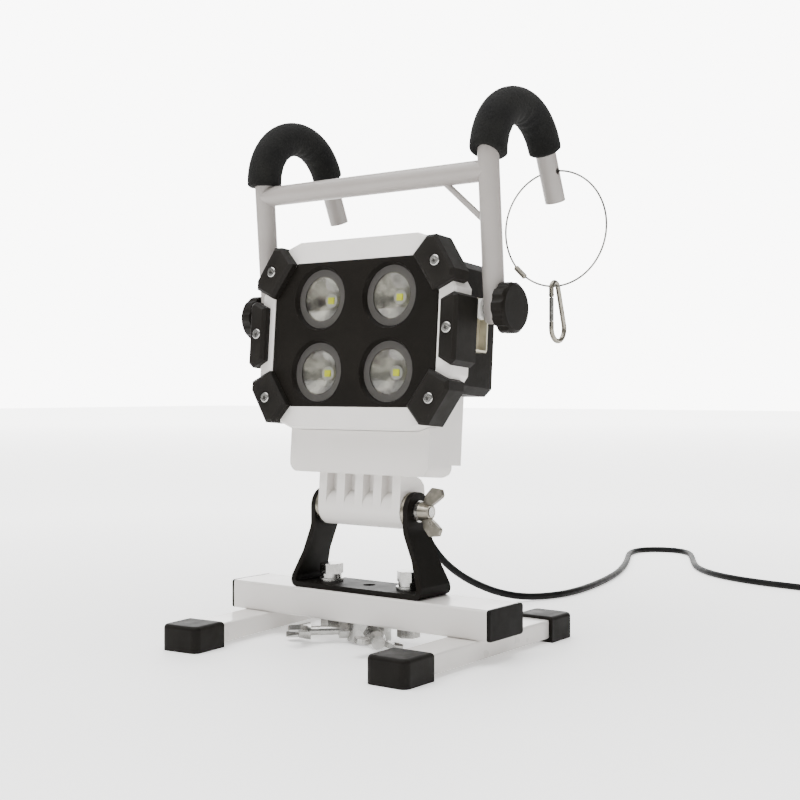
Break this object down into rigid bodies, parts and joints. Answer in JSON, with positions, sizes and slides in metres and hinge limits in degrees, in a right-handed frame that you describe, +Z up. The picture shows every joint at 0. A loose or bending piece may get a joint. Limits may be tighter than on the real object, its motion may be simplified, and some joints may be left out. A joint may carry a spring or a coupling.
{
  "type": "work light",
  "caption": "Portable mains work light: a four-lens lamp head tilts in a U bracket on a low H-shaped stand and has a swinging handle with padded hooks.",
  "frame": {"origin": "on the floor, at the centre of the stand's cross tube and of the mast socket under it", "axes": "+X to the right seen from the front, the lenses face -Y, +Z up"},
  "size_m": [0.5078, 0.8351, 0.4627],
  "materials": {
    "black_coat": "satin powder coat",
    "white_paint": "white powder coated steel",
    "black_casting": "black powder coated casting",
    "white_coat": "white powder coated casting",
    "zinc": "bright zinc plate",
    "yellow_zinc": "yellow zinc plate",
    "nickel": "nickel plate",
    "rubber": "matte black rubber",
    "foam": "closed cell foam",
    "black_plastic": "moulded black plastic",
    "white_plastic": "white nylon",
    "cap_plastic": "black polyethylene",
    "clear_lens": "clear polycarbonate",
    "reflector_metal": "metallised",
    "led_phosphor": "yellow phosphor",
    "board": "white solder mask",
    "driver_green": "green circuit board",
    "cable_jacket": "black rubber jacket",
    "brass_pins": "bright brass"
  },
  "bodies": {
    "root": {"cross_tube": "white_paint", "cross_tube_caps": "cap_plastic", "left_foot_tube": "white_paint", "right_foot_tube": "white_paint", "foot_boots": "rubber", "foot_screws": "zinc", "foot_rivet_nuts": "zinc", "tripod_socket": "zinc", "u_bracket": "black_coat", "bracket_bolts": "zinc", "bracket_washers": "zinc", "bracket_nuts": "zinc", "pivot_bolt": "zinc", "pivot_washers": "zinc", "lock_discs": "nickel", "lead_tube": "cable_jacket", "lead_coil": "cable_jacket", "lead_tail": "cable_jacket", "plug": "black_plastic", "plug_pins": "brass_pins"},
    "left_mast_screw_body": {"left_mast_screw": "zinc"},
    "right_mast_screw_body": {"right_mast_screw": "zinc"},
    "wing_nut_body": {"wing_nut": "nickel"},
    "head": {"driver_housing": "white_coat", "driver_cover": "white_coat", "driver_cover_screws": "zinc", "driver_board": "driver_green", "pivot_sleeve": "zinc", "front_shroud": "white_coat", "bezel_plate": "black_coat", "lens_gasket": "rubber", "lenses": "clear_lens", "reflectors": "reflector_metal", "led_chips": "led_phosphor", "led_board": "board", "rear_housing": "black_casting", "corner_guards": "rubber", "side_guards": "rubber", "guard_screws": "zinc", "handle_brackets": "yellow_zinc", "handle_bracket_screws": "zinc", "handle_nuts": "zinc", "handle_spacers": "white_plastic", "cable_gland": "black_plastic", "strain_relief": "cable_jacket"},
    "handle": {"left_hook_tube": "white_paint", "right_hook_tube": "white_paint", "crossbar": "white_paint", "brace_rod": "white_paint", "left_foam_grip": "foam", "right_foam_grip": "foam"},
    "left_knob_body": {"left_knob": "black_plastic", "left_knob_stud": "zinc"},
    "right_knob_body": {"right_knob": "black_plastic", "right_knob_stud": "zinc"},
    "ring": {"wire_ring": "nickel", "ring_clasp": "nickel"},
    "carabiner": {"carabiner_body": "nickel", "carabiner_pin": "nickel"},
    "gate": {"carabiner_gate": "nickel"}
  },
  "joints": [
    {"name": "head_tilt", "type": "hinge", "parent": "root", "child": "head", "pos_m": [0, 0, 0.114], "axis": [1, 0, 0], "range_deg": [-30, 90]},
    {"name": "wing_nut_spin", "type": "hinge", "parent": "root", "child": "wing_nut_body", "pos_m": [0.06, 0, 0.114], "axis": [1, 0, 0], "continuous": true},
    {"name": "left_mast_screw_spin", "type": "hinge", "parent": "root", "child": "left_mast_screw_body", "pos_m": [0, 0, 0.0108], "axis": [-0.7071, -0.7071, 0], "continuous": true},
    {"name": "right_mast_screw_spin", "type": "hinge", "parent": "root", "child": "right_mast_screw_body", "pos_m": [0, 0, 0.0108], "axis": [0.7071, -0.7071, 0], "continuous": true},
    {"name": "handle_swing", "type": "hinge", "parent": "head", "child": "handle", "pos_m": [0, 0.0092, 0.2793], "axis": [-1, 0, 0], "range_deg": [-100, 100]},
    {"name": "left_knob_spin", "type": "hinge", "parent": "head", "child": "left_knob_body", "pos_m": [-0.13, 0.0092, 0.2793], "axis": [1, 0, 0], "continuous": true},
    {"name": "right_knob_spin", "type": "hinge", "parent": "head", "child": "right_knob_body", "pos_m": [0.13, 0.0092, 0.2793], "axis": [1, 0, 0], "continuous": true},
    {"name": "ring_swing", "type": "hinge", "parent": "handle", "child": "ring", "pos_m": [0.12, 0.09576, 0.40002], "axis": [1, 0, 0], "range_deg": [-20, 110]},
    {"name": "carabiner_swing", "type": "hinge", "parent": "ring", "child": "carabiner", "pos_m": [0.1254, 0.09576, 0.30017], "axis": [1, 0, 0], "range_deg": [-30, 45]},
    {"name": "carabiner_gate_spring", "type": "hinge", "parent": "carabiner", "child": "gate", "pos_m": [0.1254, 0.09016, 0.29496], "axis": [1, 0, 0], "range_deg": [0, 25], "stiffness_Nm_per_rad": 0.01, "springref_deg": -8.59}
  ]
}
